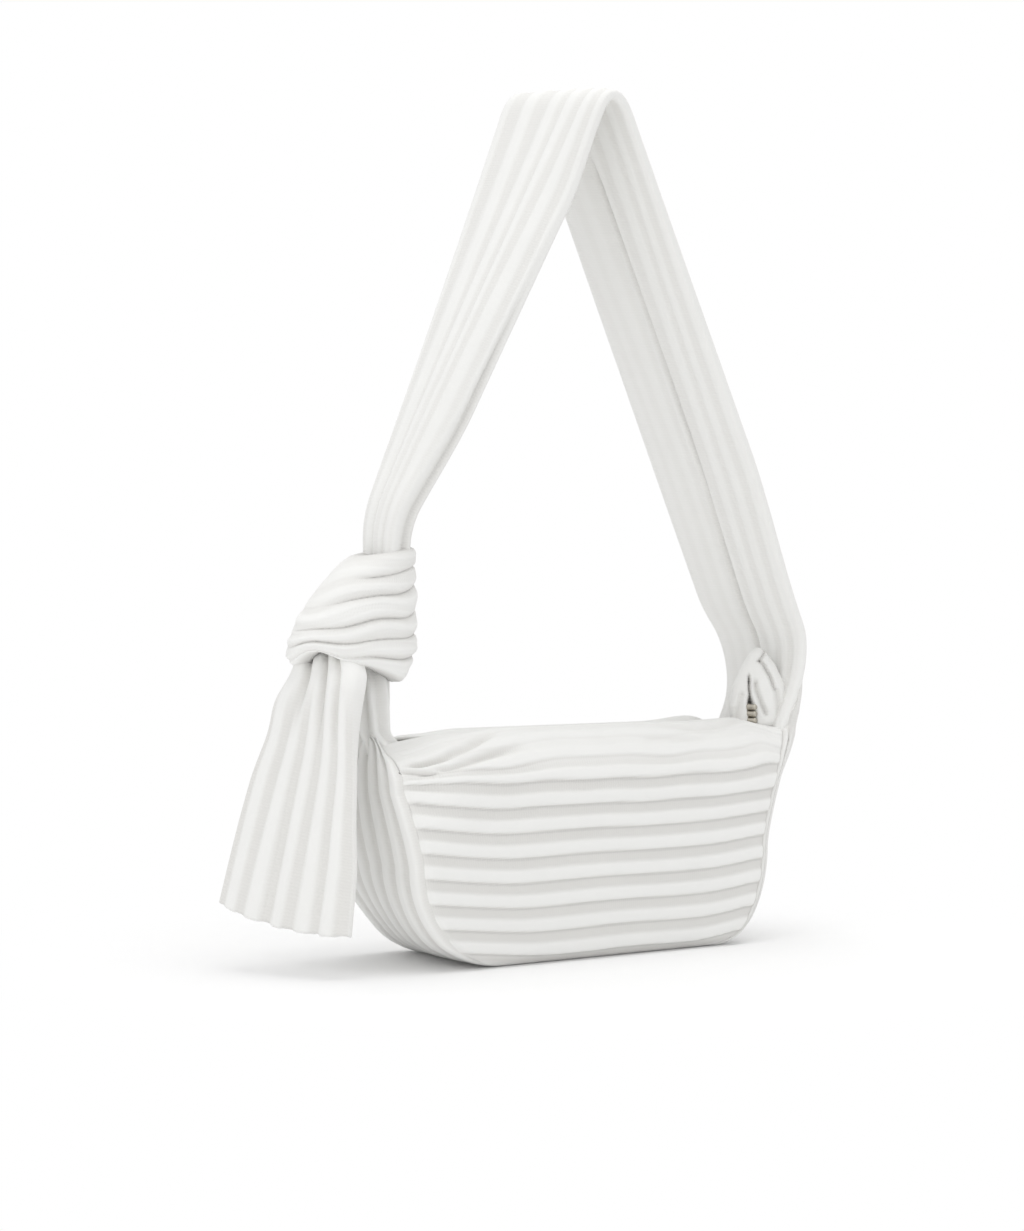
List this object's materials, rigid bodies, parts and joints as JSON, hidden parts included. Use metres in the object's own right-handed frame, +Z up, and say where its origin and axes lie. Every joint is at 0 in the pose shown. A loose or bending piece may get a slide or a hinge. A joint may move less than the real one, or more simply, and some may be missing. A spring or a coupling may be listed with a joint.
{
  "type": "knitted shoulder bag",
  "caption": "Soft ribbed-knit shoulder bag with a zipped top, a flat base and a wide strap tied to one end in a knot with a hanging tail; it stands on its base.",
  "frame": {"origin": "on the flat base, under the middle of the body", "axes": "+Z up; the front faces -Y; the knot is at the -X end"},
  "size_m": [0.3642, 0.094, 0.4984],
  "materials": {
    "knit": "ribbed off-white knit, matt",
    "lining": "plain woven cloth, matt",
    "wadding": "soft white wadding",
    "tape": "woven zip tape",
    "zip_metal": "satin metal",
    "board": "stiff board"
  },
  "bodies": {
    "bag": {"front_panel": "knit", "back_panel": "knit", "gusset_band": "knit", "front_wadding": "wadding", "back_wadding": "wadding", "lining_front": "lining", "lining_back": "lining", "lining_gusset": "lining", "base_board": "board", "slip_pocket": "lining", "zip_bottom_stop": "zip_metal", "zip_tab_left": "knit", "zip_tab_right": "knit", "neck_left": "knit", "mouth_gather": "knit", "strap_root": "knit"},
    "front_flap": {"front_mouth": "knit", "front_facing": "lining", "zip_tape_front": "tape", "zip_teeth_front": "zip_metal", "zip_top_stop_front": "zip_metal"},
    "back_flap": {"back_mouth": "knit", "back_facing": "lining", "zip_tape_back": "tape", "zip_teeth_back": "zip_metal", "zip_top_stop_back": "zip_metal"},
    "slider": {"zip_slider": "zip_metal"},
    "pull": {"zip_pull": "zip_metal"},
    "strap": {"shoulder_strap": "knit", "knot_core": "knit", "knot_wrap": "knit"},
    "tail": {"knot_tail": "knit"}
  },
  "joints": [
    {"name": "zip_slide", "type": "slide", "parent": "bag", "child": "slider", "axis": [-1, 0, 0], "range_m": [0, 0.18], "deforming": ["zip_tape_front", "zip_tape_back", "zip_teeth_front", "zip_teeth_back", "zip_top_stop_front", "zip_top_stop_back"]},
    {"name": "front_flap_fold", "type": "hinge", "parent": "bag", "child": "front_flap", "pos_m": [0, -0.047, 0.098], "axis": [1, 0, 0], "range_deg": [0, 60]},
    {"name": "back_flap_fold", "type": "hinge", "parent": "bag", "child": "back_flap", "pos_m": [0, 0.047, 0.098], "axis": [-1, 0, 0], "range_deg": [0, 60]},
    {"name": "pull_hinge", "type": "hinge", "parent": "slider", "child": "pull", "pos_m": [0.1063, 0, 0.12622], "axis": [0, 1, 0], "range_deg": [0, 120]},
    {"name": "strap_swing", "type": "hinge", "parent": "bag", "child": "strap", "pos_m": [0, 0, 0.157], "axis": [1, 0, 0], "range_deg": [-85, 85], "deforming": ["neck_left", "strap_root"]},
    {"name": "tail_swing", "type": "hinge", "parent": "strap", "child": "tail", "pos_m": [-0.1585, -0.01, 0.16218], "axis": [-0.3224, 0.9363, 0.1392], "range_deg": [0, 80]}
  ],
  "couplings": [
    {"joint": "front_flap_fold", "follows": "zip_slide", "rad_per_m": 5.8},
    {"joint": "back_flap_fold", "follows": "zip_slide", "rad_per_m": 5.8}
  ]
}
